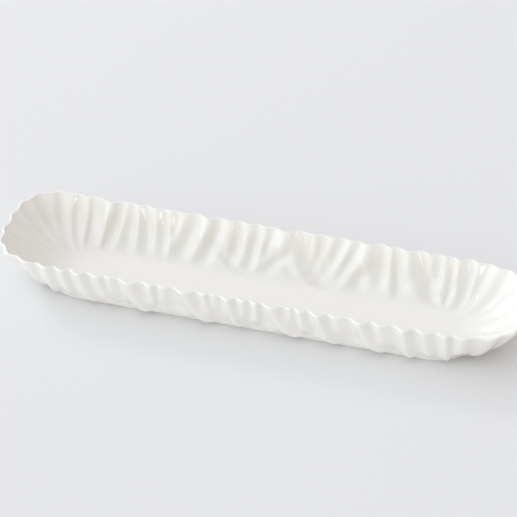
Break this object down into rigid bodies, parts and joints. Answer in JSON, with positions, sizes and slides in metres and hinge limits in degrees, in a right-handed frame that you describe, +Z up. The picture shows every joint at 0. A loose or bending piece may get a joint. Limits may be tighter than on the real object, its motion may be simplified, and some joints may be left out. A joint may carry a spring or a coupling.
{
  "type": "serving dish",
  "caption": "Long narrow glazed china serving dish with a crinkled flaring wall, a scalloped lip, a flat floor and a low foot ring.",
  "frame": {"origin": "centre of the plane that the foot stands on, below the middle of the flat floor", "axes": "+X along the length of the dish, +Y across it, +Z up out of the dish"},
  "size_m": [0.4007, 0.0959, 0.0357],
  "materials": {
    "glazed_china": "glossy clear glaze over warm white china",
    "bare_china": "unglazed, ground smooth"
  },
  "bodies": {
    "root": {"well": "glazed_china", "cavetto": "glazed_china", "wall": "glazed_china", "lip": "glazed_china", "foot_ring": "glazed_china", "foot_edge": "bare_china"}
  },
  "joints": []
}
